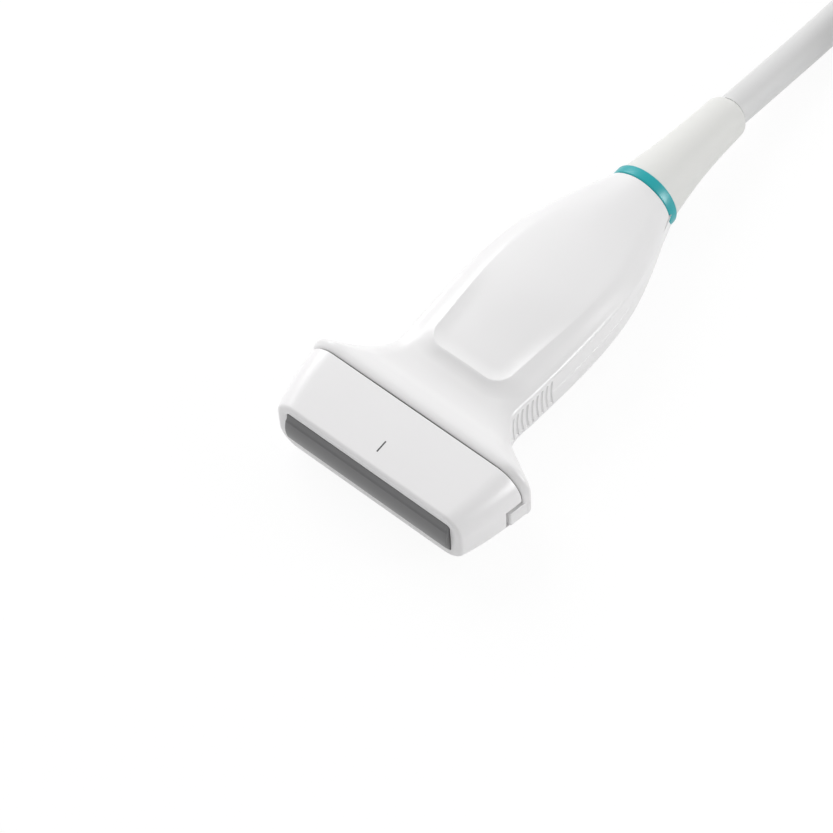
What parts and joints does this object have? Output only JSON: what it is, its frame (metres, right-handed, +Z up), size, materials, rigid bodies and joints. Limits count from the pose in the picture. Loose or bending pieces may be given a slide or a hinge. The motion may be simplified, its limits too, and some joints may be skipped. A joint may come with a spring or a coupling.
{
  "type": "ultrasound transducer probe",
  "caption": "Linear-array ultrasound probe with a wide lens face, waisted handle with raised thumb panels and side grip ribs, teal tail ring, strain relief, coiled cable and plug.",
  "frame": {"origin": "on the surface the probe rests on, under the middle of the probe without its free cable and connector", "axes": "+X along the probe from the lens to the cable, +Y to the probe's left, +Z up out of the upper thumb panel"},
  "size_m": [0.2768, 0.1056, 0.0404],
  "materials": {
    "white_housing": "smooth satin white moulded plastic",
    "nose_plastic": "smooth satin white moulded plastic",
    "lens_silicone": "smooth satin grey silicone",
    "dark_gasket": "matt dark rubber",
    "teal_ring": "glossy teal moulded plastic",
    "boot_rubber": "matt off-white rubber",
    "cable_jacket": "satin off-white cable jacket",
    "matching_epoxy": "filled epoxy",
    "ceramic": "lead-free ceramic elements",
    "copper_foil": "thin copper foil",
    "flex_film": "amber polyimide film",
    "backing_compound": "tungsten-filled backing",
    "board_laminate": "green solder-resist laminate",
    "component_plastic": "moulded black component plastic",
    "shield_metal": "tinned steel sheet",
    "screw_steel": "plated steel",
    "spreader_aluminium": "plain aluminium strip",
    "wire_copper": "bundle of fine insulated wires",
    "clamp_nylon": "glass-filled nylon",
    "tie_fabric": "black hook-and-loop strap",
    "connector_plastic": "satin light-grey moulded plastic",
    "contact_gold": "gold-plated contact"
  },
  "bodies": {
    "root": {"nose_shell": "nose_plastic", "acoustic_lens": "lens_silicone", "nose_gasket": "dark_gasket", "matching_layer_outer": "matching_epoxy", "matching_layer_inner": "matching_epoxy", "piezo_array": "ceramic", "ground_foil": "copper_foil", "flex_circuit_upper": "flex_film", "flex_circuit_lower": "flex_film", "backing_block": "backing_compound", "array_frame": "clamp_nylon", "board_upper": "board_laminate", "board_lower": "board_laminate", "board_spacers": "clamp_nylon", "board_screws": "screw_steel", "flex_sockets": "component_plastic", "board_chips": "component_plastic", "shield_upper": "shield_metal", "shield_lower": "shield_metal", "heat_spreader": "spreader_aluminium", "wire_bundle": "wire_copper", "cable_ferrule": "screw_steel", "cable_end": "cable_jacket", "cable_clamp_upper": "clamp_nylon", "cable_clamp_lower": "clamp_nylon", "clamp_screws": "screw_steel", "accent_ring": "teal_ring", "strain_relief_boot": "boot_rubber", "housing_upper": "white_housing", "housing_lower": "white_housing", "cable_coil": "cable_jacket", "coil_ties": "tie_fabric", "cable_lead": "cable_jacket", "cable_tail": "cable_jacket", "connector_boot": "boot_rubber", "connector_cable_end": "cable_jacket", "connector_shell_upper": "connector_plastic", "connector_shell_lower": "connector_plastic", "connector_screws": "screw_steel", "connector_shroud": "shield_metal", "contact_block": "component_plastic", "contact_pins": "contact_gold", "connector_board": "board_laminate"}
  },
  "joints": []
}
